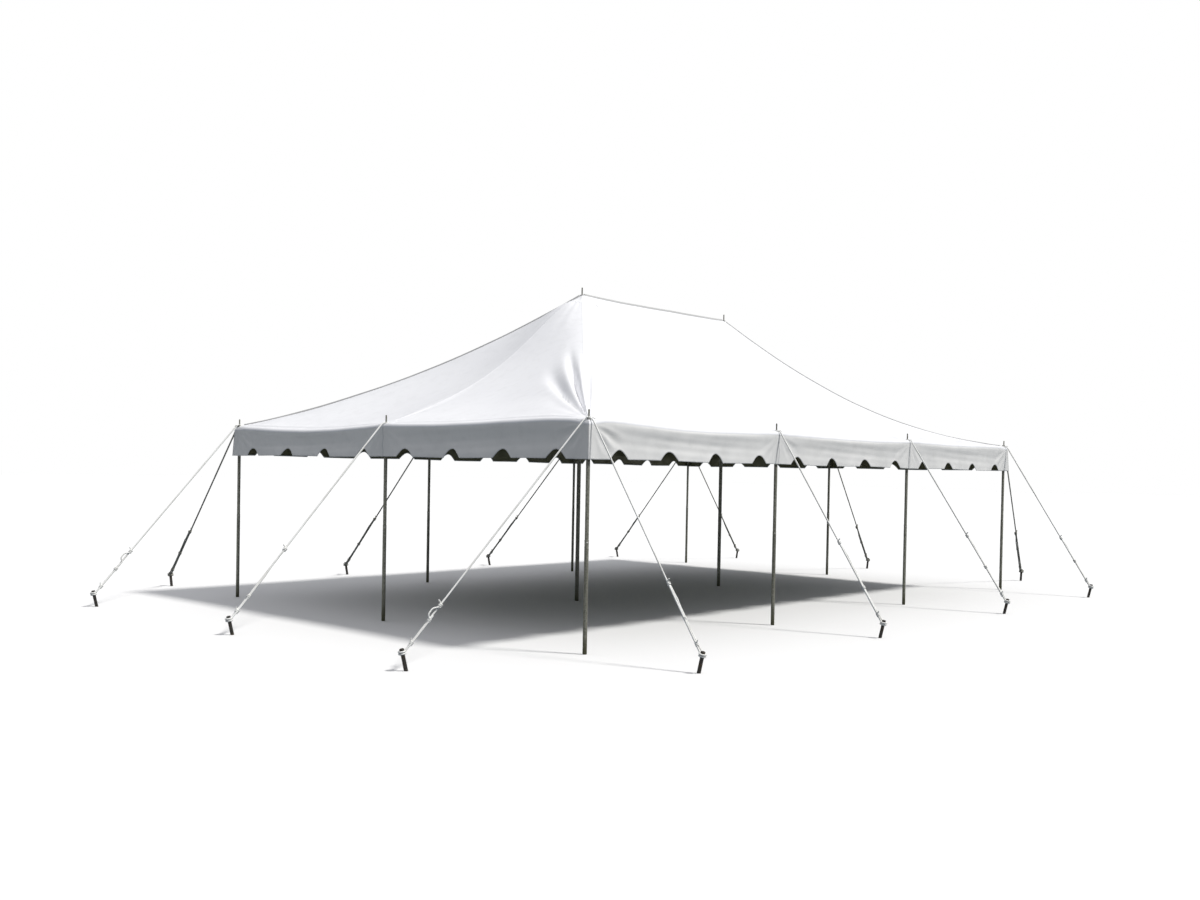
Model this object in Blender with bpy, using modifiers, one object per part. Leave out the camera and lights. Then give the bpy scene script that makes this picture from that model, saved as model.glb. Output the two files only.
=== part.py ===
"""A white 20 by 30 ft pole tent: a hipped vinyl roof over two centre poles, with a scalloped valance,
ten side poles, fourteen guy ropes and the stakes that hold them. Metres, +Z up, ground at z = 0.
The long side that faces -Y is the front, and the short side that faces -X is the left end."""

import bmesh
import bpy
from math import cos, hypot, pi, radians, sin
from mathutils import Matrix, Vector

# Plan of the tent: poles stand 10 ft apart round a rectangle of three bays by two.
BAY = 3.048
LENGTH = 3 * BAY
WIDTH = 2 * BAY
HEM_REACH = 0.045
SEAM_GAP = 0.0002
GAP = 0.0003

# Heights of the roof's top surface, and how far it hangs below straight lines.
EAVE_HEIGHT = 2.17
PEAK_HEIGHT = 3.96
RIDGE_SAG = 0.015
SHEET = 0.003
COLUMNS_PER_BAY = 8
SLOPE_ROWS = 8

# How far the eave hangs between two poles, bay by bay.
EAVE_SAG = {
    "front": (0.03, 0.02, 0.008),
    "back": (0.04, 0.05, 0.04),
    "left": (0.012, 0.05),
    "right": (0.04, 0.05),
}

# Depth of the sag on the line from each pole up to its peak: a quarter of this at halfway.
POLE_SAG = {
    "front": (1.10, 1.10, 1.25, 1.45),
    "back": (0.85, 0.95, 1.05, 1.10),
    "left": (1.10, 0.95, 0.85),
    "right": (1.45, 1.25, 1.10),
}

# Valance: flat tabs between bell-shaped notches, four notches to a bay.
VALANCE_BOTTOM = 1.80
NOTCHES_PER_BAY = 4
NOTCH_WIDTH = 0.265
NOTCH_HEIGHT = 0.09
NOTCH_ROUNDNESS = 0.5
NOTCH_STEPS = 10

# Poles: steel tube with a turned plug and a pin at the top.
SIDE_POLE_RADIUS = 0.0205
POLE_CHAMFER = 0.004
CENTRE_POLE_RADIUS = 0.0255
PIN_RADIUS = 0.008
PIN_ABOVE_ROOF = 0.088
PIN_HOLE_RADIUS = 0.0105

# Stakes: round bar with an upset head, driven leaning away from the tent.
STAKE_RADIUS = 0.015
STAKE_HEAD_RADIUS = 0.0195
STAKE_HEAD_HEIGHT = 0.012
STAKE_LENGTH = 0.195
STAKE_LEAN = radians(13)
STAKE_REACH = {"front": 1.33, "back": 1.72, "left": 1.73, "right": 1.73}

# Where each stake stands along its side, counted from its pole, at the tent's own pegging.
STAKE_SHIFT = {
    "front": (0.0, 0.03, 0.10, -0.04),
    "back": (0.0, -0.20, -0.30, 0.0),
    "left": (0.40, 0.12, 0.10),
    "right": (0.40, 0.22, 0.10),
}

# Guy ropes: an eye over the pin, a taut line, a second strand back from the stake to a hitch.
ROPE_RADIUS = 0.006
EYE_CLEARANCE = 0.0005
STAKE_EYE_DROP = 0.032
HITCH_RADIUS = 0.019
KNOT_RADIUS = 0.0175
HITCH_SHARE = {
    "front": (0.28, 0.40, 0.39, 0.33),
    "back": (0.30, 0.36, 0.34, 0.32),
    "left": (0.18, 0.33, 0.23),
    "right": (0.32, 0.30, 0.34),
}
KNOT_SHARE = {
    "front": (0.14, 0.17, 0.20, 0.17),
    "back": (0.15, 0.16, 0.14, 0.17),
    "left": (0.12, 0.10, 0.13),
    "right": (0.19, 0.16, 0.15),
}
STRAND_OFFSET = 0.014
STRAND_TURN = radians(50)
ROPE_WELD = 0.00005

SIDES = ("front", "back", "left", "right")
BAYS = {"front": 3, "back": 3, "left": 2, "right": 2}
OUTWARD = {
    "front": Vector((0, -1, 0)),
    "back": Vector((0, 1, 0)),
    "left": Vector((-1, 0, 0)),
    "right": Vector((1, 0, 0)),
}

# The box round tent and stakes is centred on the origin, so the tent stands a little off it.
TENT_CENTRE = Vector((0, (STAKE_REACH["front"] - STAKE_REACH["back"]) / 2, 0))


def clear_scene():
    for obj in list(bpy.data.objects):
        bpy.data.objects.remove(obj)


def new_collection(name):
    collection = bpy.data.collections.new(name)
    bpy.context.scene.collection.children.link(collection)
    return collection


def material(name, color, roughness, metallic):
    made = bpy.data.materials.new(name)
    made.use_nodes = True
    shader = made.node_tree.nodes["Principled BSDF"]
    shader.inputs["Base Color"].default_value = (*color, 1)
    shader.inputs["Roughness"].default_value = roughness
    shader.inputs["Metallic"].default_value = metallic
    return made


def half_run(side):
    """Half the distance between the corner poles along this side."""
    return BAYS[side] * BAY / 2


def half_depth(side):
    """From the tent's centre line out to this side's row of poles."""
    return WIDTH / 2 if side in ("front", "back") else LENGTH / 2


def slope_reach(side):
    """How far this side's slope spreads in plan, from ridge or peak to the row of poles."""
    return half_depth(side) if side in ("front", "back") else half_depth(side) - BAY / 2


def along_of(side):
    """The direction in which a side's poles are counted."""
    return Vector((1, 0, 0)) if side in ("front", "back") else Vector((0, 1, 0))


def side_point(side, run, depth, height):
    """A point by its run along a side and its distance out from the tent's centre."""
    point = TENT_CENTRE + along_of(side) * run + OUTWARD[side] * depth
    point.z = height
    return point


def pole_runs(side):
    return [index * BAY - half_run(side) for index in range(BAYS[side] + 1)]


def pole_sag(side, run):
    """The sag named for the poles, straight between one pole and the next."""
    place = min(max((run + half_run(side)) / BAY, 0), BAYS[side])
    index = min(int(place), BAYS[side] - 1)
    values = POLE_SAG[side]
    return values[index] + (values[index + 1] - values[index]) * (place - index)


def eave_height(side, run):
    """The eave hangs in a shallow curve from pole to pole."""
    place = min(max((run + half_run(side)) / BAY, 0), BAYS[side])
    index = min(int(place), BAYS[side] - 1)
    part = place - index
    return EAVE_HEIGHT - EAVE_SAG[side][index] * 4 * part * (1 - part)


def ridge_height(run):
    part = run / BAY + 0.5
    return PEAK_HEIGHT - RIDGE_SAG * 4 * part * (1 - part)


def roof_point(side, run, share):
    """A point of the roof's top: share is 0 on the ridge or peak, 1 at the poles, more on the hem."""
    reach = slope_reach(side)
    top_depth = half_depth(side) - reach
    if side in ("front", "back"):
        top_run = min(max(run, -BAY / 2), BAY / 2)
        top_height = ridge_height(top_run)
    else:
        top_run = 0.0
        top_height = PEAK_HEIGHT
    low = eave_height(side, run)
    fall = top_height - low
    height = low + fall * (1 - share) - pole_sag(side, run) * share * (1 - share)
    plan = top_run + (run - top_run) * share
    return side_point(side, plan, top_depth + reach * share + SEAM_GAP, height)


def hem_share(side):
    return 1 + HEM_REACH / slope_reach(side)


def pole_top(side, run):
    return side_point(side, run, half_depth(side), EAVE_HEIGHT)


def finish(obj, name, look, collection):
    """Names a finished mesh object, gives it its own material and files it with the parts."""
    obj.name = name
    obj.data.name = name
    obj.data.materials.clear()
    obj.data.materials.append(look)
    for owner in list(obj.users_collection):
        owner.objects.unlink(obj)
    collection.objects.link(obj)
    return obj


def object_from(builder, name, collection):
    mesh = bpy.data.meshes.new(name)
    builder.to_mesh(mesh)
    builder.free()
    obj = bpy.data.objects.new(name, mesh)
    collection.objects.link(obj)
    return obj


def evaluated_mesh(obj):
    graph = bpy.context.evaluated_depsgraph_get()
    return bpy.data.meshes.new_from_object(obj.evaluated_get(graph))


def welded(mesh, distance=1e-5):
    builder = bmesh.new()
    builder.from_mesh(mesh)
    bmesh.ops.triangulate(builder, faces=builder.faces)
    bmesh.ops.dissolve_degenerate(builder, edges=builder.edges, dist=distance)
    bmesh.ops.remove_doubles(builder, verts=builder.verts, dist=distance)
    builder.to_mesh(mesh)
    builder.free()


def hide_helper(obj):
    obj.hide_render = True
    obj.display_type = "WIRE"


def applied_boolean(obj, other, operation, solver="EXACT"):
    """Joins or cuts one mesh with another, keeps the result as plain mesh and drops the helper."""
    hide_helper(other)
    modifier = obj.modifiers.new("Join", "BOOLEAN")
    modifier.operation = operation
    modifier.solver = solver
    modifier.object = other
    bpy.context.view_layer.update()
    result = evaluated_mesh(obj)
    obj.modifiers.clear()
    old = obj.data
    obj.data = result
    bpy.data.meshes.remove(old)
    bpy.data.objects.remove(other)


def cylinder(centre, radius, depth, sides, collection):
    builder = bmesh.new()
    bmesh.ops.create_cone(
        builder, cap_ends=True, segments=sides, radius1=radius, radius2=radius, depth=depth
    )
    bmesh.ops.translate(builder, verts=builder.verts, vec=centre)
    return object_from(builder, "cylinder", collection)


def roof_panel(side, cutters, parts, look):
    """One slope of the roof: a grid laid on the roof's surface and thickened straight down.
    Its last row of faces is the hem, outside the poles."""
    columns = BAYS[side] * COLUMNS_PER_BAY
    hem = hem_share(side)
    builder = bmesh.new()
    bmesh.ops.create_grid(builder, x_segments=columns, y_segments=SLOPE_ROWS + 1, size=1)
    for vertex in builder.verts:
        row = (vertex.co.y + 1) / 2 * (SLOPE_ROWS + 1)
        share = hem if row > SLOPE_ROWS + 0.5 else row / SLOPE_ROWS
        vertex.co = roof_point(side, vertex.co.x * half_run(side), share)
    bmesh.ops.remove_doubles(builder, verts=builder.verts, dist=1e-6)
    shell = bmesh.ops.extrude_face_region(builder, geom=list(builder.faces))
    lower = [item for item in shell["geom"] if isinstance(item, bmesh.types.BMVert)]
    bmesh.ops.translate(builder, verts=lower, vec=(0, 0, -SHEET))
    bmesh.ops.recalc_face_normals(builder, faces=builder.faces)
    panel = object_from(builder, side, parts)
    for centre in pin_places(side):
        hole = cylinder(centre, PIN_HOLE_RADIUS, 0.4, 24, cutters)
        applied_boolean(panel, hole, "DIFFERENCE")
    name = {"front": "front_roof_panel", "back": "back_roof_panel"}.get(side, side + "_end_roof_panel")
    return finish(panel, name, look, parts)


def pin_places(side):
    """Every pin that passes through this slope: the peaks it reaches and the poles along its eave."""
    peaks = (-BAY / 2, BAY / 2) if side in ("front", "back") else (0.0,)
    depth = 0.0 if side in ("front", "back") else BAY / 2
    found = [side_point(side, run, depth, PEAK_HEIGHT) for run in peaks]
    return found + [pole_top(side, run) for run in pole_runs(side)]


def valance(side, parts, look):
    """A flat sheet: its top follows the sagging eave, its lower edge is cut in bell-shaped notches."""
    end = half_run(side) + HEM_REACH
    if side in ("left", "right"):
        end -= SHEET + GAP
    outline = valance_foot(side, end) + valance_head(side, end)
    curve = bpy.data.curves.new(side, "CURVE")
    curve.dimensions = "2D"
    curve.fill_mode = "BOTH"
    curve.extrude = SHEET / 2
    spline = curve.splines.new("POLY")
    spline.points.add(len(outline) - 1)
    for point, (run, height) in zip(spline.points, outline):
        point.co = (run, height, 0, 1)
    spline.use_cyclic_u = True
    flat = bpy.data.objects.new(side, curve)
    bpy.context.scene.collection.objects.link(flat)
    mesh = evaluated_mesh(flat)
    bpy.data.objects.remove(flat)
    welded(mesh)
    sheet = bpy.data.objects.new(side, mesh)
    parts.objects.link(sheet)
    along = along_of(side)
    middle = half_depth(side) + HEM_REACH - SHEET / 2
    place = TENT_CENTRE + OUTWARD[side] * middle
    turn = Matrix((along, Vector((0, 0, 1)), along.cross(Vector((0, 0, 1))))).transposed()
    sheet.data.transform(Matrix.Translation(place) @ turn.to_4x4())
    return finish(sheet, side + "_valance", look, parts)


def valance_foot(side, end):
    """The lower edge from left to right: a bell-shaped notch every quarter of a bay."""
    points = [(-end, VALANCE_BOTTOM)]
    spacing = BAY / NOTCHES_PER_BAY
    for index in range(BAYS[side] * NOTCHES_PER_BAY):
        middle = -half_run(side) + spacing * (index + 0.5)
        for step in range(NOTCH_STEPS + 1):
            across = 2 * step / NOTCH_STEPS - 1
            rise = NOTCH_HEIGHT * (0.5 + 0.5 * cos(pi * across)) ** NOTCH_ROUNDNESS
            points.append((middle + across * NOTCH_WIDTH / 2, VALANCE_BOTTOM + rise))
    points.append((end, VALANCE_BOTTOM))
    return points


def valance_head(side, end):
    """The upper edge from right to left, just under the hem's own corners."""
    steps = BAYS[side] * COLUMNS_PER_BAY
    points = []
    for step in range(steps + 1):
        run = half_run(side) * (1 - 2 * step / steps)
        hem = roof_point(side, run, hem_share(side))
        along = (hem - TENT_CENTRE).dot(along_of(side))
        points.append((min(max(along, -end), end), hem.z - SHEET - GAP))
    return points


def turned(name, profile, place, look, parts, steps=20):
    """A turned piece from a profile of radius and height, listed from the top down."""
    builder = bmesh.new()
    verts = [builder.verts.new((radius, 0, height)) for radius, height in profile]
    for first, second in zip(verts, verts[1:]):
        builder.edges.new((first, second))
    obj = object_from(builder, name, parts)
    screw = obj.modifiers.new("Turn", "SCREW")
    screw.angle = 2 * pi
    screw.steps = steps
    screw.render_steps = steps
    screw.use_merge_vertices = True
    screw.merge_threshold = 0.00001
    obj.location = place
    obj.data.materials.append(look)
    return obj


def pole(name, place, radius, shoulder, roof_height, look, parts):
    """A tube with a chamfered plug, a pin that passes through the roof, and a plugged flat foot."""
    pin_top = roof_height + PIN_ABOVE_ROOF
    profile = [
        (0, pin_top),
        (PIN_RADIUS * 0.6, pin_top),
        (PIN_RADIUS, pin_top - 0.004),
        (PIN_RADIUS, shoulder),
        (radius - POLE_CHAMFER, shoulder),
        (radius, shoulder - POLE_CHAMFER),
        (radius, 0.003),
        (radius - 0.003, 0),
        (0, 0),
    ]
    return turned(name, profile, (place.x, place.y, 0), look, parts)


def shoulder_under(side, run, radius):
    """The highest flat shoulder that keeps clear of the sloping roof round a side pole's pin."""
    sides = [(side, run)]
    corner = abs(run) > half_run(side) - GAP
    if corner:
        end = "left" if run < 0 else "right"
        sides.append((end, half_run(end) if side == "back" else -half_run(end)))
    slopes = []
    for each, place in sides:
        outward = (EAVE_HEIGHT - roof_point(each, place, hem_share(each)).z) / HEM_REACH
        inner = place - BAY / COLUMNS_PER_BAY if place > 0 else place + BAY / COLUMNS_PER_BAY
        along = (EAVE_HEIGHT - eave_height(each, inner)) / (BAY / COLUMNS_PER_BAY)
        slopes.append(hypot(outward + along, along) if corner else hypot(outward, along))
    return EAVE_HEIGHT - SHEET - GAP - (radius - POLE_CHAMFER) * max(slopes)


def peak_slope(end):
    """The steepest fall of the roof's first row of faces round this peak."""
    share = 1 / SLOPE_ROWS
    found = []
    for side, runs in ((end, pole_runs(end)), ("front", pole_runs("front")), ("back", pole_runs("back"))):
        for run in runs:
            if side == end or (run < 0) == (end == "left"):
                low = roof_point(side, run, share).z
                found.append((PEAK_HEIGHT - low) / (slope_reach(side) * share))
    return max(found)


def centre_pole(name, end, run, look, parts):
    """A centre pole: its plug is a cone, so that the steep roof round the pin clears it."""
    place = TENT_CENTRE + Vector((run, 0, 0))
    pin_top = PEAK_HEIGHT + PIN_ABOVE_ROOF
    collar = PEAK_HEIGHT - SHEET - PIN_HOLE_RADIUS * peak_slope(end) - GAP
    cone = CENTRE_POLE_RADIUS - PIN_HOLE_RADIUS
    profile = [
        (0, pin_top),
        (PIN_RADIUS * 0.6, pin_top),
        (PIN_RADIUS, pin_top - 0.004),
        (PIN_RADIUS, collar),
        (PIN_HOLE_RADIUS, collar),
        (CENTRE_POLE_RADIUS, collar - cone * 1.3),
        (CENTRE_POLE_RADIUS, 0.003),
        (CENTRE_POLE_RADIUS - 0.003, 0),
        (0, 0),
    ]
    return turned(name, profile, (place.x, place.y, 0), look, parts)


def stake_frame(side, index):
    """Ground point of a stake, and the direction of its guy in plan."""
    run = pole_runs(side)[index]
    shift = STAKE_SHIFT[side][index]
    ground = side_point(side, run + shift, half_depth(side) + STAKE_REACH[side], 0)
    pin = pole_top(side, run)
    away = Vector((ground.x - pin.x, ground.y - pin.y, 0)).normalized()
    return ground, away


def lean_matrix(ground, away):
    axis = Vector((0, 0, 1)).cross(away)
    return Matrix.Translation(ground) @ Matrix.Rotation(STAKE_LEAN, 4, axis)


def stake(name, side, index, look, cutters, parts):
    """A leaning bar with a rounded head, cut flat where it enters the ground."""
    ground, away = stake_frame(side, index)
    head = STAKE_LENGTH - STAKE_HEAD_HEIGHT
    profile = [
        (0, STAKE_LENGTH),
        (STAKE_HEAD_RADIUS * 0.7, STAKE_LENGTH),
        (STAKE_HEAD_RADIUS, STAKE_LENGTH - 0.004),
        (STAKE_HEAD_RADIUS, head),
        (STAKE_RADIUS, head - 0.003),
        (STAKE_RADIUS, -0.05),
        (0, -0.05),
    ]
    bar = turned(name, profile, (0, 0, 0), look, parts, steps=14)
    mesh = evaluated_mesh(bar)
    bar.modifiers.clear()
    bar.data = mesh
    mesh.transform(lean_matrix(ground, away))
    builder = bmesh.new()
    bmesh.ops.create_cube(builder, size=1)
    bmesh.ops.translate(builder, verts=builder.verts, vec=(ground.x, ground.y, -0.5))
    soil = object_from(builder, "soil", cutters)
    applied_boolean(bar, soil, "DIFFERENCE")
    return finish(bar, name, look, parts)


def ring(centre, tilt, bore, collection):
    """A closed loop of rope whose inside clears a bar of the given radius."""
    middle = bore + EYE_CLEARANCE + ROPE_RADIUS
    bpy.ops.mesh.primitive_torus_add(
        major_segments=16, minor_segments=6, major_radius=middle, minor_radius=ROPE_RADIUS
    )
    loop = bpy.context.active_object
    loop.data.transform(Matrix.Translation(centre) @ tilt)
    for owner in list(loop.users_collection):
        owner.objects.unlink(loop)
    collection.objects.link(loop)
    return loop


def cord(points, radius, collection):
    """A straight-sided length of rope through the given points."""
    curve = bpy.data.curves.new("cord", "CURVE")
    curve.dimensions = "3D"
    curve.bevel_depth = radius
    curve.bevel_resolution = 1
    curve.use_fill_caps = True
    spline = curve.splines.new("POLY")
    spline.points.add(len(points) - 1)
    for target, point in zip(spline.points, points):
        target.co = (*point, 1)
    line = bpy.data.objects.new("cord", curve)
    bpy.context.scene.collection.objects.link(line)
    mesh = evaluated_mesh(line)
    bpy.data.objects.remove(line)
    welded(mesh)
    made = bpy.data.objects.new("cord", mesh)
    collection.objects.link(made)
    return made


def knot(place, radius, along, collection):
    builder = bmesh.new()
    bmesh.ops.create_uvsphere(builder, u_segments=8, v_segments=6, radius=radius)
    stretch = Matrix.Diagonal((1, 1, 1.5, 1))
    turn = along.to_track_quat("Z", "Y").to_matrix().to_4x4()
    bmesh.ops.transform(builder, matrix=Matrix.Translation(place) @ turn @ stretch, verts=builder.verts)
    return object_from(builder, "knot", collection)


def rope_points(side, index, level):
    """The taut line: over the hem from the pin's eye, then straight to the loop round the stake."""
    ground, away = stake_frame(side, index)
    pin = pole_top(side, pole_runs(side)[index])
    eye = Vector((pin.x, pin.y, EAVE_HEIGHT + 0.012 + level * (2 * ROPE_RADIUS + 0.001)))
    eye_radius = PIN_RADIUS + EYE_CLEARANCE + ROPE_RADIUS
    hem_run = (HEM_REACH + 0.003) / max(away.dot(OUTWARD[side]), 0.5)
    bend = eye + away * hem_run
    bend.z -= 0.004
    axis = (lean_matrix(ground, away).to_3x3() @ Vector((0, 0, 1))).normalized()
    loop = ground + axis * (STAKE_LENGTH - STAKE_EYE_DROP)
    loop_radius = STAKE_RADIUS + EYE_CLEARANCE + ROPE_RADIUS
    toward = (away - axis * away.dot(axis)).normalized()
    low = loop - toward * loop_radius
    return eye, eye_radius, bend, low, loop, axis


def guy_rope(name, side, index, level, look, cutters, parts):
    """One rope with the eye over the pin, the taut line, the hitches and the loop round its stake."""
    eye, eye_radius, bend, low, loop, axis = rope_points(side, index, level)
    outward = (bend - eye).normalized()
    rope = cord([eye + outward * eye_radius, bend, low], ROPE_RADIUS, parts)
    ground, away = stake_frame(side, index)
    tilt = lean_matrix(Vector((0, 0, 0)), away)
    line = (bend - low).normalized()
    hitch = low.lerp(bend, HITCH_SHARE[side][index])
    middle = low.lerp(bend, KNOT_SHARE[side][index])
    beside = line.cross(axis).normalized()
    bow = beside * STRAND_OFFSET
    start = loop + (low - loop) * cos(STRAND_TURN) + beside * (low - loop).length * sin(STRAND_TURN)
    strand = cord([start, low.lerp(middle, 0.5) + bow, hitch + bow], ROPE_RADIUS, cutters)
    pieces = [
        ring(eye, Matrix.Identity(4), PIN_RADIUS, cutters),
        ring(loop, tilt, STAKE_RADIUS, cutters),
        strand,
        knot(hitch + bow / 2, HITCH_RADIUS, line, cutters),
        knot(middle + bow / 2, KNOT_RADIUS, line, cutters),
    ]
    for piece in pieces:
        applied_boolean(rope, piece, "UNION", "MANIFOLD")
    welded(rope.data, ROPE_WELD)
    return finish(rope, name, look, parts)


def shade(obj):
    if obj.type == "MESH":
        obj.data.shade_smooth()
        obj.data.set_sharp_from_angle(angle=radians(35))


def build_poles(parts):
    """Ten side poles, the four at the corners shared by two sides, and two centre poles."""
    for side in ("front", "back"):
        for index, run in enumerate(pole_runs(side)):
            corner = index in (0, BAYS[side])
            end = "left" if run < 0 else "right"
            name = f"corner_pole_{side}_{end}" if corner else f"side_pole_{side}_{end}"
            look = material(name, (0.20, 0.20, 0.18), 0.45, 0.8)
            shoulder = shoulder_under(side, run, SIDE_POLE_RADIUS)
            pole(name, pole_top(side, run), SIDE_POLE_RADIUS, shoulder, EAVE_HEIGHT, look, parts)
    for side in ("left", "right"):
        name = f"end_pole_{side}"
        look = material(name, (0.20, 0.20, 0.18), 0.45, 0.8)
        shoulder = shoulder_under(side, 0.0, SIDE_POLE_RADIUS)
        pole(name, pole_top(side, 0.0), SIDE_POLE_RADIUS, shoulder, EAVE_HEIGHT, look, parts)
    for end, run in (("left", -BAY / 2), ("right", BAY / 2)):
        look = material(f"centre_pole_{end}", (0.24, 0.24, 0.23), 0.4, 0.8)
        centre_pole(f"centre_pole_{end}", end, run, look, parts)


def build_guys(cutters, parts):
    for side in SIDES:
        for index in range(BAYS[side] + 1):
            level = 1 if side in ("left", "right") and index in (0, BAYS[side]) else 0
            rope_look = material(f"rope_{side}_{index + 1}", (0.80, 0.80, 0.77), 0.8, 0.0)
            stake_look = material(f"stake_{side}_{index + 1}", (0.05, 0.05, 0.05), 0.55, 0.6)
            stake(f"stake_{side}_{index + 1}", side, index, stake_look, cutters, parts)
            guy_rope(f"guy_rope_{side}_{index + 1}", side, index, level, rope_look, cutters, parts)


def main():
    clear_scene()
    parts = new_collection("Pole tent")
    cutters = new_collection("Cutters")
    for side in SIDES:
        roof_panel(side, cutters, parts, material(f"roof_{side}", (0.90, 0.90, 0.92), 0.45, 0.0))
        valance(side, parts, material(f"valance_{side}", (0.88, 0.88, 0.90), 0.45, 0.0))
    build_poles(parts)
    build_guys(cutters, parts)
    for obj in parts.objects:
        shade(obj)


main()
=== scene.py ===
"""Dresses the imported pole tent: one vinyl canopy, hung valances, seams and patches, two-piece
steel poles, twisted guy ropes and driven stakes. Metres, in the frame of the solids."""

import bmesh
import bpy
import numpy as np
from itertools import product
from math import atan2, cos, pi, radians, sin
from mathutils import Matrix, Vector


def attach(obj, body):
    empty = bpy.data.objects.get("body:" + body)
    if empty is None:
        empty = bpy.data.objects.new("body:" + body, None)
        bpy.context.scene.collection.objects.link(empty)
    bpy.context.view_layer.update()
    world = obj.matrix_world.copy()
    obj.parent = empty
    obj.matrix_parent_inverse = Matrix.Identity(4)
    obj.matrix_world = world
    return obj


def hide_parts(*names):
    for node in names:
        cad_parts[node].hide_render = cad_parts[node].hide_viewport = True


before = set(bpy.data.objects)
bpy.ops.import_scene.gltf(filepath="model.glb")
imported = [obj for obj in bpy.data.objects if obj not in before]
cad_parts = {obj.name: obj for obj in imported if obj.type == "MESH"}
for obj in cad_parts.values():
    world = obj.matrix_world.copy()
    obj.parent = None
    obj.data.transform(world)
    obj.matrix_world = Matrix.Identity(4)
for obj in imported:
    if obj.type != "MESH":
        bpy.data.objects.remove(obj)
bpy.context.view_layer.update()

# Plan, heights and guys as in the source of the solids, with thicker pins, stakes and ropes.
BAY = 3.048
PEAK_RUN = BAY / 2
HALF_LENGTH = 1.5 * BAY
HEM_REACH = 0.045
EAVE_HEIGHT = 2.17
PEAK_HEIGHT = 3.96
RIDGE_SAG = 0.015
CENTRE = np.array([0.0, -0.195, 0.0])
SIDES = ("front", "back", "left", "right")
BAYS = {"front": 3, "back": 3, "left": 2, "right": 2}
HALF = {side: bays * BAY / 2 for side, bays in BAYS.items()}
OUTWARD = {"front": (0, -1, 0), "back": (0, 1, 0), "left": (-1, 0, 0), "right": (1, 0, 0)}
UP = np.array([0.0, 0.0, 1.0])
EAVE_SAG = np.array([[0.03, 0.02, 0.008], [0.04, 0.05, 0.04], [0.012, 0.05, 0.05], [0.04, 0.05, 0.05]])
POLE_SAG = np.array(
    [[1.10, 1.10, 1.25, 1.45], [0.85, 0.95, 1.05, 1.10], [1.10, 0.95, 0.85, 0.85], [1.45, 1.25, 1.10, 1.10]]
)
VALANCE_BOTTOM = 1.80
NOTCHES_PER_BAY = 4
NOTCH_WIDTH = 0.265
NOTCH_HEIGHT = 0.09
NOTCH_ROUNDNESS = 0.5
SIDE_POLE_RADIUS = 0.0205
CENTRE_POLE_RADIUS = 0.0255
PIN_RADIUS = 0.0085
PIN_ABOVE_ROOF = 0.088
SIDE_JOINT = 1.056
CENTRE_JOINT = 1.96
BUTTON_DROP = 0.025
STAKE_RADIUS = 0.0175
STAKE_HEAD_RADIUS = 0.0212
STAKE_LENGTH = 0.195
STAKE_LEAN = radians(13)
STAKE_REACH = {"front": 1.33, "back": 1.72, "left": 1.73, "right": 1.73}
STAKE_SHIFT = {
    "front": (0.0, 0.03, 0.10, -0.04),
    "back": (0.0, -0.20, -0.30, 0.0),
    "left": (0.40, 0.12, 0.10),
    "right": (0.40, 0.22, 0.10),
}
ROPE_RADIUS = {
    "front": (0.0092, 0.0103, 0.0112, 0.0112),
    "back": (0.0112,) * 4,
    "left": (0.0095, 0.0108, 0.0108),
    "right": (0.0112,) * 3,
}
EYE_ROPE_RADIUS = 0.0052
EYE_CLEARANCE = 0.0005
EYE_LIFT = 0.0065
EYE_STACK = 0.0102
STAKE_EYE_DROP = 0.025
STRAND_OFFSET = 0.0185
HITCH_SHARE = {
    "front": (0.28, 0.40, 0.39, 0.33),
    "back": (0.30, 0.36, 0.34, 0.32),
    "left": (0.18, 0.33, 0.23),
    "right": (0.32, 0.30, 0.34),
}
KNOT_SHARE = {
    "front": (0.14, 0.17, 0.20, 0.17),
    "back": (0.15, 0.16, 0.14, 0.17),
    "left": (0.12, 0.10, 0.13),
    "right": (0.19, 0.16, 0.15),
}

# What the fabric does beyond the plain solids.
VALLEY = 0.034
EAVE_PULL = 0.018
VINYL = 0.0014
HOLE = 0.0125
PIN_STEP = 0.0105
SKIN_GAP = 0.0002
PIN_PATCH = {"side": 0.12, "corner": 0.15, "deep corner": 0.15}
PEAK_PATCH = 0.20
GROMMET_RADIUS = 0.021
PEAK_RING_RADIUS = 0.030
HEM_ROWS = (0.0155, 0.0205, 0.0265, 0.0325, 0.038, 0.042, 0.0442, 0.045)
HEM_ROLL = 0.033
CORNER_DROOP = 0.45
CORNER_FLARE = 0.016
VALANCE_BOW = {"front": 0.011, "back": 0.022, "left": 0.027, "right": 0.022}
VALANCE_ROLL = {"front": 0.0085, "back": 0.005, "left": 0.0035, "right": 0.005}
WIDE_BIGHTS = (("left", 0), ("left", 2))

# Camera of the photograph.
CAMERA_PLACE = (-12.2311, -10.4990, 1.6991)
CAMERA_YAW = radians(41.3805)
CAMERA_PITCH = radians(-1.0531)
CAMERA_ROLL = radians(1.0767)
CAMERA_LENS = 34.44
CAMERA_SHIFT = (-0.02424, 0.03477)

# Light: a sun, and a surround that runs from the low colour below to the high one overhead.
SUN_STRENGTH = 3.1
SUN_FROM = (0.25, -0.50, 0.80)
SURROUND_LOW = (0.106, 0.131, 0.154)
SURROUND_HIGH = (0.640, 0.645, 0.675)

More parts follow.
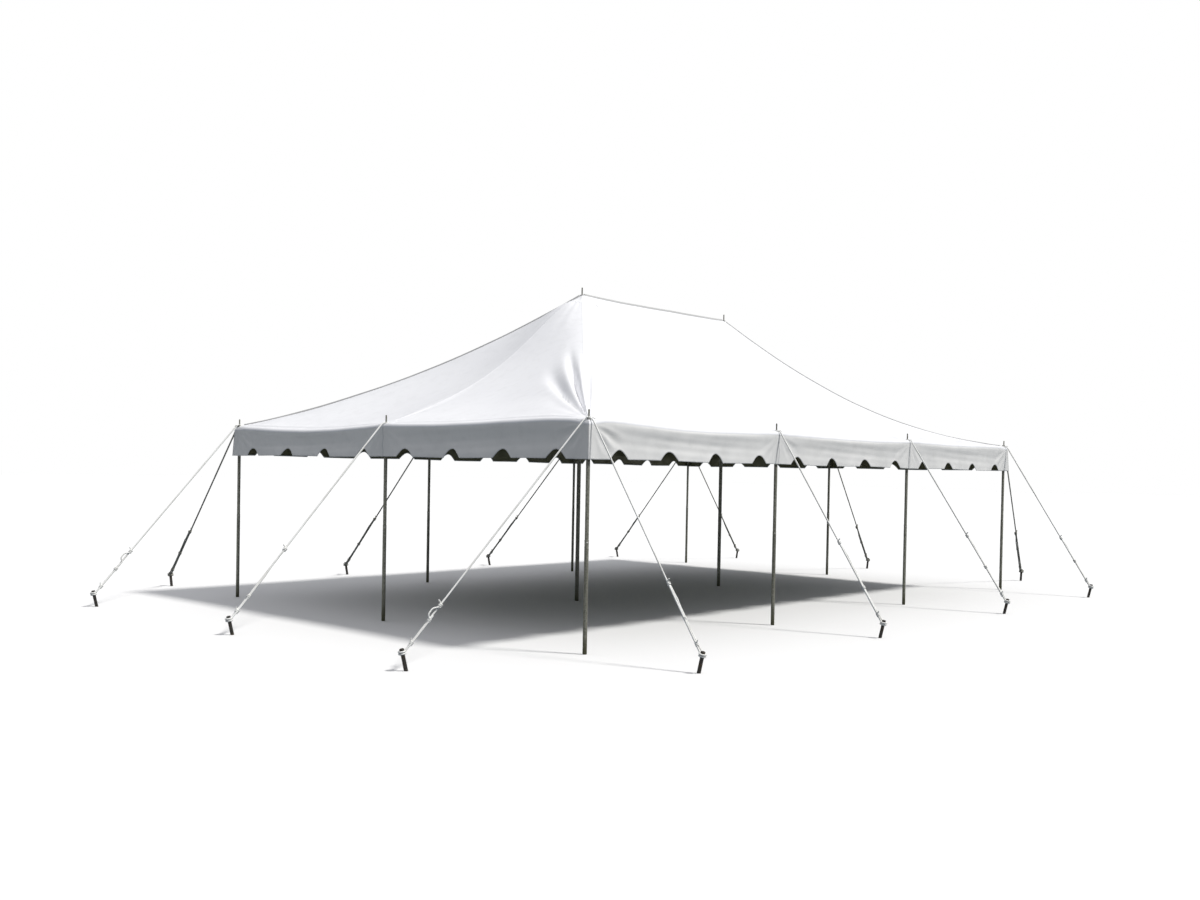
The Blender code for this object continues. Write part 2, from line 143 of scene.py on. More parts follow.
# Coated fabrics: light tone, dark tone and roughness.
VINYLS = {
    "white": ((0.835, 0.838, 0.857), (0.795, 0.798, 0.82), 0.42),
    "skirt": ((0.825, 0.820, 0.808), (0.785, 0.780, 0.768), 0.42),
    # The inner faces are the same white vinyl; this dark olive is painted shade under the canopy and behind
    # the valances.
    "inside_painted_shade": ((0.118, 0.114, 0.056), (0.090, 0.087, 0.040), 0.6),
    "tape": ((0.85, 0.855, 0.87), (0.81, 0.815, 0.835), 0.5),
    "piping": ((0.46, 0.46, 0.46), (0.40, 0.40, 0.40), 0.6),
    # The joint tapes' grey is painted shade of the gap at the overlapped edge, not a darker vinyl.
    "joint": ((0.68, 0.68, 0.68), (0.64, 0.64, 0.64), 0.6),
    "patch": ((0.84, 0.845, 0.86), (0.80, 0.805, 0.825), 0.5),
    "binding": ((0.74, 0.74, 0.735), (0.69, 0.69, 0.685), 0.5),
}


# Small helpers for paths and vectors.


def unit(vector):
    return vector / np.linalg.norm(vector)


def units(vectors):
    return vectors / np.linalg.norm(vectors, axis=1)[:, None]


def distances(path):
    """How far along a path each of its points lies."""
    return np.concatenate([[0], np.cumsum(np.linalg.norm(np.diff(path, axis=0), axis=1))])


def circle(steps):
    """Angles of even steps once round."""
    return 2 * pi * np.arange(steps) / steps


# The roof as a height field.


def smooth(low, high, value):
    share = np.clip((value - low) / (high - low), 0, 1)
    return share * share * (3 - 2 * share)


def roof_fields(x, y):
    """Where plan points lie: on a long side, side, share of the slope, top run, bay and its share."""
    long = np.abs(y) >= np.abs(x) - PEAK_RUN - 1e-9
    share = np.where(long, np.abs(y), np.abs(x) - PEAK_RUN) / BAY
    safe = np.maximum(share, 1e-6)
    top_run = np.clip(x, -PEAK_RUN, PEAK_RUN)
    run = np.where(long, top_run + (x - top_run) / safe, y / safe)
    side = np.where(long, np.where(y < 0, 0, 1), np.where(x < 0, 2, 3))
    bays = np.where(long, 3, 2)
    place = np.clip(run / BAY + bays / 2, 0, bays)
    index = np.minimum(place.astype(int), bays - 1)
    return long, side, share, top_run, index, place - index


def pole_pins():
    """The ten side poles' places from the tent's centre, each with the peak it pulls on."""
    pins = []
    for y in (-BAY, BAY):
        for index in range(4):
            x = index * BAY - HALF_LENGTH
            pins.append((x, y, float(np.clip(x, -PEAK_RUN, PEAK_RUN))))
    return pins + [(-HALF_LENGTH, 0.0, -PEAK_RUN), (HALF_LENGTH, 0.0, PEAK_RUN)]


# Folds at each kind of pole: degrees off the line to the peak, half-width in degrees,
# height for each metre out from the pin, and how far the fold runs.
FOLDS = {
    "deep corner": (
        (1.2, 0.85, 0.018, 2.9), (3.3, 0.85, -0.040, 3.1), (5.5, 1.2, 0.020, 3.0),
        (9.0, 1.35, -0.041, 2.8), (11.8, 1.5, 0.009, 2.2), (-1.5, 0.7, -0.011, 2.8),
        (-3.1, 0.8, 0.007, 2.6), (-7.0, 1.8, -0.005, 1.8), (17.0, 2.4, -0.008, 1.5),
        (24.0, 3.0, 0.006, 1.0), (-14.0, 2.6, -0.006, 1.1),
    ),
    "corner": (
        (2.4, 1.5, -0.010, 2.0), (6.2, 1.8, 0.009, 1.7), (11.0, 2.2, -0.008, 1.3),
        (-3.0, 1.6, 0.008, 1.9), (-7.5, 1.9, -0.009, 1.5), (-15.0, 2.8, 0.007, 1.0),
        (20.0, 3.2, 0.008, 0.9),
    ),
    "side": (
        (0.0, 1.6, 0.007, 1.6), (5.5, 2.0, -0.009, 1.2), (-6.0, 2.1, -0.008, 1.3),
        (13.0, 2.8, 0.008, 0.9), (-15.0, 3.0, 0.007, 0.9), (26.0, 4.2, -0.008, 0.7),
        (-28.0, 4.4, -0.008, 0.7), (41.0, 5.0, 0.007, 0.5), (-43.0, 5.2, 0.007, 0.5),
    ),
}


def fold_kind(x, y):
    if x < 0 and y < 0 and abs(x) > HALF_LENGTH - 0.1:
        return "deep corner"
    return "corner" if abs(x) > HALF_LENGTH - 0.1 and abs(y) > 0.1 else "side"


def folds_of(x, y, pin):
    """Height that the folds round one pole's pin add at plan points."""
    pin_x, pin_y, peak_x = pin
    dx, dy = x - pin_x, y - pin_y
    out = np.hypot(dx, dy)
    up = atan2(-pin_y, peak_x - pin_x)
    turn = np.degrees(np.angle(np.exp(1j * (np.arctan2(dy, dx) - up))))
    if pin_x * pin_y < 0:
        turn = -turn
    total = np.zeros_like(out)
    for angle, width, height, reach in FOLDS[fold_kind(pin_x, pin_y)]:
        bell = np.exp(-(((turn - angle) / width) ** 2))
        total += height * out * (1 - smooth(0.5 * reach, reach, out)) * bell
    return total


def peak_folds(x, y, peak_x):
    """Fine puckers that fan out from a peak."""
    dx, dy = x - peak_x, y
    out = np.hypot(dx, dy)
    turn = np.arctan2(dy, dx)
    fan = np.cos(17 * turn + 0.6) + 0.6 * np.cos(29 * turn + 1.9)
    away = np.cos(turn) * (1 if peak_x > 0 else -1)
    return 0.0020 * fan * smooth(0.02, 0.22, out) * (1 - smooth(0.3, 1.1, out)) * smooth(-0.3, 0.2, away)


def ripple(x, y):
    """Slow unevenness of the stretched vinyl."""
    broad = np.sin(2.1 * x + 1.3 * y + 0.4) * np.sin(1.7 * y - 0.9 * x + 1.1)
    middle = np.sin(5.3 * x - 3.9 * y) * np.sin(4.1 * x + 6.2 * y + 0.7)
    fine = np.sin(13.1 * x + 9.7 * y + 2.0) * np.sin(11.3 * y - 8.2 * x)
    return 0.0045 * broad + 0.0016 * middle + 0.0004 * fine


def edge_folds(share, arch):
    """Tight folds that run from pin to pin just inside the slacker edge of the eave."""
    inside = (1 - share) * BAY
    ridge = np.exp(-(((inside - 0.012 - 0.095 * arch) / 0.022) ** 2))
    groove = np.exp(-(((inside - 0.004 - 0.050 * arch) / 0.016) ** 2))
    return smooth(0.0, 0.35, arch) * (0.0065 * ridge - 0.0060 * groove)


def hip_round(x, y, pin, fall):
    """Lifts the fabric beside a corner's hip, so that the slopes meet in a round."""
    pin_x, pin_y, peak_x = pin
    length = np.hypot(peak_x - pin_x, pin_y)
    ux, uy = (peak_x - pin_x) / length, -pin_y / length
    along = (x - pin_x) * ux + (y - pin_y) * uy
    off = np.abs((x - pin_x) * uy - (y - pin_y) * ux)
    width = 0.34 if fold_kind(pin_x, pin_y) == "deep corner" else 0.05
    lift = fall / 2**0.5 * (width - np.sqrt(off**2 + width**2) + off)
    return lift * np.exp(-((off / 0.8) ** 2)) * smooth(0.0, 0.22, length - along)


def roof_height(x, y):
    """Height of the canopy's top above the ground at plan points from the tent's centre."""
    long, side, share, top_run, index, part = roof_fields(x, y)
    ridge_part = top_run / BAY + 0.5
    top = np.where(long, PEAK_HEIGHT - RIDGE_SAG * 4 * ridge_part * (1 - ridge_part), PEAK_HEIGHT)
    arch = 4 * part * (1 - part)
    low = EAVE_HEIGHT - EAVE_SAG[side, index] * arch
    sag = POLE_SAG[side, index] * (1 - part) + POLE_SAG[side, np.minimum(index + 1, 3)] * part
    height = low + (top - low) * (1 - share) - sag * share * (1 - share)
    fall = (top - low + sag * (1 - 2 * share)) / BAY
    hollow = np.clip(4 * share * (1 - share), 0, 1)
    height -= VALLEY * (0.6 * arch + 0.4 * np.sin(pi * part) ** 2) * hollow
    calm = np.ones_like(height)
    for pin in pole_pins():
        out = np.hypot(x - pin[0], y - pin[1])
        calm *= 1 - np.exp(-((out / 0.16) ** 2))
        height += folds_of(x, y, pin)
        if fold_kind(pin[0], pin[1]) != "side":
            height += hip_round(x, y, pin, fall)
    for peak_x in (-PEAK_RUN, PEAK_RUN):
        calm *= 1 - np.exp(-((np.hypot(x - peak_x, y) / 0.25) ** 2))
        height += peak_folds(x, y, peak_x)
    return height + calm * ripple(x, y) + edge_folds(share, arch)


def hem_drop(x, y):
    """How far the hem has rolled down over the eave, more at the corners beyond their pins."""
    share = roof_fields(x, y)[2]
    over = np.clip((share - 1) * BAY, 0, HEM_REACH)
    bent = np.clip(over - HEM_REACH + HEM_ROLL, 0, HEM_ROLL)
    corner = np.hypot(np.abs(x) - HALF_LENGTH, np.abs(y) - BAY)
    droop = CORNER_DROOP * over * np.exp(-((corner / 0.12) ** 2))
    return HEM_ROLL - np.sqrt(HEM_ROLL**2 - bent**2) + droop


def pulled(x, y):
    """Plan points after the tight fabric has drawn the eave in between the poles."""
    long, side, share, top_run, index, part = roof_fields(x, y)
    pull = EAVE_PULL * 4 * part * (1 - part) * smooth(0.55, 1.0, share)
    return np.where(long, x, x - np.sign(x) * pull), np.where(long, y - np.sign(y) * pull, y)


def on_roof(x, y, lift=0.0):
    """Points on the canopy over plan points, in the row frame."""
    x, y = np.asarray(x, float), np.asarray(y, float)
    height = roof_height(x, y) - hem_drop(x, y) + lift
    px, py = pulled(x, y)
    return np.stack([px + CENTRE[0], py + CENTRE[1], height], axis=-1)


def steps_from(start, first, last, growth):
    """Offsets that begin fine and widen."""
    values, step, here = [], first, start
    while here < last:
        values.append(here)
        here += step
        step *= growth
    return values


def half_bay(corner):
    """Column offsets from a pole to the middle of its bay."""
    near = [PIN_STEP] + steps_from(0.021, 0.0135 if corner else 0.0125, 0.80, 1.050 if corner else 1.075)
    last = near[-1]
    count = int((PEAK_RUN - last) / 0.066) + 1
    return near + [last + (PEAK_RUN - last) * (step + 1) / count for step in range(count)]


def side_runs(side):
    """Runs of the canopy's columns along one side, from pole to pole, without the last pole."""
    runs = []
    for bay in range(BAYS[side]):
        start = bay * BAY - HALF[side]
        first = half_bay(bay == 0)
        second = half_bay(bay == BAYS[side] - 1)
        runs += [start] + [start + offset for offset in first]
        runs += [start + BAY - offset for offset in reversed(second[:-1])]
    return runs


def canopy_columns():
    """Every column as its side and run, once round the tent from the front left corner."""
    turns = (("front", 1), ("right", 1), ("back", -1), ("left", -1))
    return [(side, way * run) for side, way in turns for run in side_runs(side)]


def slope_rows():
    """Plan distances down the slope from the peak, up to the row past the poles."""
    rows = [0.0, 0.03, 0.055, 0.09, 0.13, 0.18, 0.24, 0.31, 0.385]
    rows += [0.385 + 0.0852 * step for step in range(1, 27)]
    rows += [2.67, 2.73, 2.78, 2.825, 2.865, 2.90, 2.93, 2.952, 2.968, 2.980, 2.992, 3.003, 3.014, 3.025]
    return rows + [BAY - PIN_STEP, BAY, BAY + PIN_STEP]


def column_points(side, run, shares):
    """Plan places down one column."""
    out_x, out_y, _ = OUTWARD[side]
    if out_y:
        top = float(np.clip(run, -PEAK_RUN, PEAK_RUN))
        return top + (run - top) * shares, out_y * BAY * shares
    return out_x * (PEAK_RUN + BAY * shares), run * shares


def canopy_grid():
    """Plan places of every vertex, columns by rows, and the vertex on each pin."""
    slope = slope_rows()
    rows = np.array(slope + [BAY + out for out in HEM_ROWS])
    columns = canopy_columns()
    x = np.zeros((len(columns), len(rows)))
    y = np.zeros_like(x)
    centres = []
    for number, (side, run) in enumerate(columns):
        shares = rows / BAY
        long = side in ("front", "back")
        ridge = long and abs(run) < PEAK_RUN - 1e-6
        if not ridge:
            far = abs(run) - PEAK_RUN if long else abs(run)
            shares = np.concatenate([[HOLE / np.hypot(far, BAY)], shares[1:]])
        x[number], y[number] = column_points(side, run, shares)
        if ridge:
            x[number, 0] = np.clip(run, HOLE - PEAK_RUN, PEAK_RUN - HOLE)
        bays = run / BAY + BAYS[side] / 2
        if abs(bays - round(bays)) < 1e-6:
            centres.append((number, len(slope) - 2))
    for number, row in centres:
        round_hole(x, y, number, row)
    return x, y, centres


def round_hole(x, y, number, row):
    """Sets the eight neighbours of a pin's vertex on a circle, so that the hole is round."""
    middle_x, middle_y = x[number, row], y[number, row]
    for step, down in product((-1, 0, 1), repeat=2):
        if step or down:
            place = (number + step) % len(x), row + down
            dx, dy = x[place] - middle_x, y[place] - middle_y
            size = np.hypot(dx, dy)
            x[place], y[place] = middle_x + dx / size * HOLE, middle_y + dy / size * HOLE


# Meshes.


def mesh_object(name, verts, faces):
    mesh = bpy.data.meshes.new(name)
    mesh.from_pydata([tuple(map(float, v)) for v in verts], [], faces)
    obj = bpy.data.objects.new(name, mesh)
    bpy.context.scene.collection.objects.link(obj)
    return obj


def cleaned(obj, distance=1e-5):
    builder = bmesh.new()
    builder.from_mesh(obj.data)
    bmesh.ops.remove_doubles(builder, verts=builder.verts, dist=distance)
    bmesh.ops.recalc_face_normals(builder, faces=builder.faces)
    builder.to_mesh(obj.data)
    builder.free()


def applied(obj):
    """Turns the object's modifiers into plain mesh."""
    bpy.context.view_layer.update()
    graph = bpy.context.evaluated_depsgraph_get()
    mesh = bpy.data.meshes.new_from_object(obj.evaluated_get(graph))
    obj.modifiers.clear()
    old = obj.data
    obj.data = mesh
    bpy.data.meshes.remove(old)
    mesh.name = obj.name


def dress(obj, slot, *looks, angle=60):
    """Shading, materials and body of a finished piece; slot is not used."""
    obj.data.shade_smooth()
    obj.data.set_sharp_from_angle(angle=radians(angle))
    for look in looks:
        obj.data.materials.append(look)
    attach(obj, "root")
    return obj


def grid_faces(columns, rows, closed=False):
    """Quads of a grid whose vertices are stored column by column."""
    faces = []
    for column in range(columns if closed else columns - 1):
        here, there = column * rows, (column + 1) % columns * rows
        faces += [(here + row, here + row + 1, there + row + 1, there + row) for row in range(rows - 1)]
    return faces


def ring_faces(rings, sides, closed=False, base=0):
    """Quads round a tube whose vertices are stored ring by ring."""
    faces = []
    for ring in range(rings if closed else rings - 1):
        here, there = base + ring * sides, base + (ring + 1) % rings * sides
        pairs = [(side, (side + 1) % sides) for side in range(sides)]
        faces += [(here + side, here + after, there + after, there + side) for side, after in pairs]
    return faces


def faced(obj, way):
    """Turns the faces of an open sheet so that they look the given way."""
    if sum(face.normal.dot(Vector(way)) * face.area for face in obj.data.polygons) < 0:
        obj.data.flip_normals()


def skin(name, points, faces, way, thickness, looks):
    """A sheet thickened below its outer face, and that face's area. A second look goes inside."""
    sheet = mesh_object(name, points, faces)
    cleaned(sheet)
    faced(sheet, way)
    area = sum(face.area for face in sheet.data.polygons)
    for look in looks:
        sheet.data.materials.append(look)
    solid = sheet.modifiers.new("Thickness", "SOLIDIFY")
    solid.thickness = thickness
    solid.offset = -1
    solid.use_rim = True
    solid.material_offset = len(looks) - 1
    applied(sheet)
    return sheet, area


def welded(name, points, way, thickness, slot, look, closed=False):
    """A thin piece welded on a sheet, from a grid of points on its outer face."""
    columns, rows = points.shape[:2]
    faces = grid_faces(columns, rows, closed)
    piece, _ = skin(name, points.reshape(-1, 3), faces, way, thickness, [look])
    return dress(piece, slot)


# Canopy.


def make_canopy(*looks):
    x, y, centres = canopy_grid()
    columns, rows = x.shape
    gone = {number * rows + row for number, row in centres}
    faces = [face for face in grid_faces(columns, rows, closed=True) if not gone & set(face)]
    used = sorted({corner for face in faces for corner in face})
    renumbered = {old: new for new, old in enumerate(used)}
    points = on_roof(x, y).reshape(-1, 3)[used]
    faces = [tuple(renumbered[corner] for corner in face) for face in faces]
    panels = ("front_roof_panel", "back_roof_panel", "left_end_roof_panel", "right_end_roof_panel")
    canopy, area = skin("canopy", points, faces, UP, VINYL, looks)
    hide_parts(*panels)
    return dress(canopy, "roof_vinyl"), area


def strip_on_roof(name, start, end, half_width, lift, steps, look):
    """A tape welded on the roof along a straight line in plan."""
    start, end = np.array(start, float), np.array(end, float)
    along = unit(end - start)
    across = np.array([-along[1], along[0]])
    places = start + (end - start) * np.linspace(0, 1, steps)[:, None]
    offsets = np.array([-1.0, -0.94, -0.5, 0.0, 0.5, 0.94, 1.0]) * half_width
    grid = places[:, None, :] + across * offsets[None, :, None]
    lifts = np.array([0.0, lift, lift, lift * 1.3, lift, lift, 0.0]) + SKIN_GAP
    points = on_roof(grid[..., 0], grid[..., 1]) + UP * lifts[None, :, None]
    return welded(name, points, UP, 0.0012, "roof_vinyl", look)


def make_roof_seams(tape, piping):
    """Tapes along the ridge, the hips and the lines from the peaks to the other poles."""
    seams = [strip_on_roof("ridge_seam", (-1.488, 0), (1.488, 0), 0.017, 0.0095, 40, piping)]
    for number, (x, y, peak_x) in enumerate(pole_pins()):
        pin, peak = np.array([x, y]), np.array([peak_x, 0.0])
        line = unit(pin - peak)
        corded = fold_kind(x, y) == "corner"
        shape = (0.018, 0.0115, 90, piping) if corded else (0.010, 0.0008, 90, tape)
        start, end = peak + line * 0.036, pin - line * 0.06
        seams.append(strip_on_roof(f"roof_seam_{number + 1}", start, end, *shape))
    return seams


def patch_on_roof(name, x, y, radius, hem, lift, look, turns=48):
    """A round reinforcement welded over a pin's hole, cut straight at the hem."""
    rings = (HOLE + 0.001, 0.022, 0.034, 0.05, 0.07, 0.09, 0.11, 0.135, 0.16, 0.19, 0.22)
    rings = [ring for ring in rings if ring < radius - 0.004] + [radius - 0.0015, radius]
    plan = []
    for turn in range(turns):
        angle = 2 * pi * turn / turns
        plan += [(x + cos(angle) * ring, y + sin(angle) * ring) for ring in rings]
    edge = np.array([HALF_LENGTH + hem, BAY + hem])
    plan = np.clip(plan, -edge, edge)
    points = on_roof(plan[:, 0], plan[:, 1]).reshape(turns, len(rings), 3)
    points[:, :-1, 2] += lift
    points[:, -1, 2] += SKIN_GAP
    return welded(name, points, UP, 0.0008, "roof_vinyl", look, closed=True)


def turned(name, profile, place, steps=32):
    """A turned piece about a vertical axis, from (radius, height) pairs listed downwards."""
    verts, faces, rings = [], [], []
    for radius, height in profile:
        if radius == 0:
            rings.append([len(verts)] * steps)
            verts.append((place[0], place[1], height))
            continue
        rings.append(list(range(len(verts), len(verts) + steps)))
        for step in range(steps):
            angle = 2 * pi * step / steps
            verts.append((place[0] + radius * cos(angle), place[1] + radius * sin(angle), height))
    for upper, lower in zip(rings, rings[1:]):
        for step in range(steps):
            after = (step + 1) % steps
            corners = [upper[step], lower[step], lower[after], upper[after]]
            faces.append(tuple(dict.fromkeys(corners)))
    return mesh_object(name, verts, [face for face in faces if len(face) > 2])


def make_grommet(name, x, y, radius, look, turns=40, sides=12):
    """A rolled metal ring pressed into the patch, lying on the slope round its pin."""

    def around(reach):
        return on_roof(x + reach * np.array([-1, 1, 0, 0]), y + reach * np.array([0, 0, -1, 1]))

    left, right, front, back = around(0.03)
    normal = Vector(np.cross(right - left, back - front)).normalized()
    mid, half = (radius + HOLE) / 2, (radius - HOLE) / 2
    verts = []
    for turn in range(turns):
        angle = 2 * pi * turn / turns
        for step in range(sides):
            bend = 2 * pi * step / sides
            reach = mid + half * cos(bend)
            verts.append((reach * cos(angle), reach * sin(angle), 0.0022 * sin(bend)))
    ring = mesh_object(name, verts, ring_faces(turns, sides, closed=True))
    lean = normal.lerp(Vector(UP), 0.5).to_track_quat("Z", "Y").to_matrix().to_4x4()
    middle = Vector(around(HOLE).mean(axis=0)) + Vector((0, 0, 0.003))
    ring.data.transform(Matrix.Translation(middle) @ lean)
    cleaned(ring)
    return dress(ring, "side_pole_steel", look)


# Valances.


def notch(run):
    """How far the lower edge is cut up at a run along the side."""
    spacing = BAY / NOTCHES_PER_BAY
    from_middle = (run / spacing) - np.floor(run / spacing) - 0.5
    across = np.clip(from_middle * spacing / (NOTCH_WIDTH / 2), -1, 1)
    return NOTCH_HEIGHT * (0.5 + 0.5 * np.cos(pi * across)) ** NOTCH_ROUNDNESS


def valance_runs(side):
    """Columns that meet every corner of every notch."""
    half, spacing, wide = HALF[side], BAY / NOTCHES_PER_BAY, NOTCH_WIDTH / 2
    runs = []
    for index in range(BAYS[side] * NOTCHES_PER_BAY):
        middle = -half + spacing * (index + 0.5)
        runs += list(middle + wide * np.linspace(-1, 1, 19))
        runs += list(middle + wide + (spacing - NOTCH_WIDTH) * np.linspace(0, 1, 25)[1:-1])
    runs = [run for run in runs if run < half - spacing / 2 + wide + 1e-6]
    first = -half + spacing / 2 - wide
    ends = np.linspace(0, 1, 19) ** 0.8
    low = list(-half - HEM_REACH + (first + half + HEM_REACH) * ends[:-1])
    return np.array(low + runs + [-run for run in reversed(low)])


def hem_plan(side, run, inset):
    """Plan places on a side's hem, or inset from it."""
    out_x, out_y, _ = OUTWARD[side]
    if out_y:
        return run, np.full_like(run, out_y * (BAY + HEM_REACH - inset))
    return np.full_like(run, out_x * (HALF_LENGTH + HEM_REACH - inset)), run


# Folds below each pin: degrees off plumb, half-width in degrees, depth for each metre from
# the pin, and how far the fold runs.
VALANCE_FOLDS = (
    (26, 5, 0.030, 0.40), (38, 5, -0.030, 0.46), (51, 5, 0.036, 0.60), (63, 5, -0.030, 0.62),
    (74, 4, 0.020, 0.60), (-29, 6, 0.030, 0.42), (-42, 5, -0.034, 0.50), (-55, 5, 0.034, 0.58),
    (-67, 5, -0.026, 0.60),
)


def valance_out(side, run, drop, height):
    """How far the valance stands out from its plane, by its drop below the eave."""
    share = np.clip(drop / (drop + height - VALANCE_BOTTOM), 0, 1)
    half = HALF[side]
    phase = 1.7 * SIDES.index(side)
    part = (run + half) / BAY
    part = part - np.floor(part)
    arch = 4 * part * (1 - part)
    out = -VALANCE_BOW[side] * arch**0.7 * np.sin(pi * share**0.9) ** 2 + 0.006 * share * arch
    early = share / 0.12
    out += VALANCE_ROLL[side] * arch**0.5 * early * np.exp(1 - early)
    lumps = np.sin(2 * pi * run / 0.83 + 14 * share + phase) * np.sin(2 * pi * run / 0.61 - 9 * share + 2)
    out += 0.0035 * arch * lumps * np.sin(pi * share)
    for index in range(BAYS[side] + 1):
        across = run - (index * BAY - half)
        reach = np.hypot(across, drop)
        angle = np.degrees(np.arctan2(across, np.maximum(drop, 1e-4)))
        sway = 3.5 * sin(2.3 * index + SIDES.index(side))
        depth = 1.0 if index in (0, BAYS[side]) else 0.5
        for turn, width, height, far in VALANCE_FOLDS:
            bell = np.exp(-(((angle - turn - sway) / width) ** 2))
            fading = 1 - smooth(0.35 * far, far, reach)
            out += depth * height * np.minimum(reach, 0.3) * fading * bell
    out += share**1.5 * 0.0065 * np.sin(2 * pi * run / 1.13 + phase)
    out += share**2 * 0.0040 * np.sin(2 * pi * run / 0.47 + 1.3 + phase)
    out += share * 0.0012 * np.sin(2 * pi * run / 0.19 + 0.5)
    return out * smooth(0.0, 0.10, half + HEM_REACH - np.abs(run))


def on_valance(side, run, share, lift=0.0):
    """Points on a valance's outer face: share is 0 under the hem and 1 on the cut lower edge."""
    run, share = np.asarray(run, float), np.asarray(share, float)
    half = HALF[side]
    x, y = hem_plan(side, run, 0.0)
    top = roof_height(x, y) - hem_drop(x, y) + 0.004
    px, py = pulled(x, y)
    near = 1.8 if side in ("front", "left") else 1.0
    size = CORNER_FLARE * np.where(run < 0, near, 1.0)
    flare = size * share * np.exp(-(((half + HEM_REACH - np.abs(run)) / 0.11) ** 2))
    sway = 0.004 * np.sin(2 * pi * run / 2.1 + SIDES.index(side))
    foot = VALANCE_BOTTOM + notch(run) + sway * (1 - notch(run) / NOTCH_HEIGHT)
    height = top + (foot - top) * share
    out = valance_out(side, run, top - height, height) + flare + lift - 0.0016
    out_x, out_y, _ = OUTWARD[side]
    px = px + (out_x * out if out_x else np.sign(run) * flare)
    py = py + (out_y * out if out_y else np.sign(run) * flare)
    return np.stack([px + CENTRE[0], py + CENTRE[1], height], axis=-1)


VALANCE_ROWS = np.array(
    [0, 0.03, 0.065, 0.105, 0.15, 0.20, 0.255, 0.31, 0.37, 0.43, 0.49]
    + [0.55, 0.61, 0.67, 0.73, 0.79, 0.84, 0.89, 0.93, 0.965, 1]
)


def make_valance(side, *looks):
    runs = valance_runs(side)
    run, share = np.meshgrid(runs, VALANCE_ROWS, indexing="ij")
    points = on_valance(side, run, share).reshape(-1, 3)
    faces = grid_faces(len(runs), len(VALANCE_ROWS))
    sheet, area = skin(f"valance_{side}", points, faces, OUTWARD[side], VINYL, looks)
    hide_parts(f"{side}_valance")
    return dress(sheet, "valance_vinyl"), area


def make_binding(side, look):
    """The tape folded over the valance's cut edge."""
    runs = valance_runs(side)
    edge = on_valance(side, runs, np.ones_like(runs))
    inside = on_valance(side, runs, np.full_like(runs, 0.97))
    away = np.array(OUTWARD[side], float)
    up = np.cross(units(np.gradient(edge, axis=0)), away)
    up = units(up * np.sign(np.sum(up * (inside - edge), axis=1))[:, None])
    middle = edge - away * VINYL / 2
    corners = [(-0.0016, 0.0009), (-0.0008, 0.0018), (0.010, 0.0017), (0.0105, 0.0008)]
    section = corners + [(rise, -out) for rise, out in reversed(corners)]
    rings = np.stack([middle + up * rise + away * out for rise, out in section], axis=1)
    count, sides = len(runs), len(section)
    faces = ring_faces(count, sides)
    faces += [tuple(range(sides)), tuple(range((count - 1) * sides, count * sides))]
    tape = mesh_object(f"valance_binding_{side}", rings.reshape(-1, 3), faces)
    cleaned(tape, 1e-6)
    return dress(tape, "valance_vinyl", look, angle=50)


def make_valance_tape(side, number, look):
    """A vertical joint in the valance under a pole: a narrow overlapped tape."""
    offsets = np.array([-0.009, -0.0083, -0.004, 0.004, 0.0083, 0.009])
    lifts = np.array([SKIN_GAP, 0.0012, 0.0012, 0.0012, 0.0012, SKIN_GAP])
    across, share = np.meshgrid(number * BAY - HALF[side] + offsets, VALANCE_ROWS, indexing="ij")
    across = across + 0.007 * np.sin(11 * share + number) * np.sin(pi * share)
    points = on_valance(side, across, share, lifts[:, None])
    # The tape's grey look is painted shade of the overlap's gap.
    return welded(f"valance_joint_{side}_{number}", points, OUTWARD[side], 0.0010, "valance_vinyl", look)


# Ropes.


def resampled(points, step):
    """The path's points at even steps along it."""
    points = np.asarray(points, float)
    lengths = distances(points)
    count = max(int(round(lengths[-1] / step)), 3)
    at = np.linspace(0, lengths[-1], count + 1)
    return np.stack([np.interp(at, lengths, points[:, axis]) for axis in range(3)], axis=1)


def rounded(points, radius, steps=8):
    """A polyline with its inner corners drawn as short arcs."""
    points = [np.asarray(p, float) for p in points]
    path = [points[0]]
    for before, corner, after in zip(points, points[1:], points[2:]):
        back, on = before - corner, after - corner
        reach = min(radius, np.linalg.norm(back) * 0.45, np.linalg.norm(on) * 0.45)
        start, end = corner + unit(back) * reach, corner + unit(on) * reach
        for step in range(steps + 1):
            t = step / steps
            path.append(start * (1 - t) ** 2 + corner * 2 * t * (1 - t) + end * t * t)
    path.append(points[-1])
    return np.array(path)


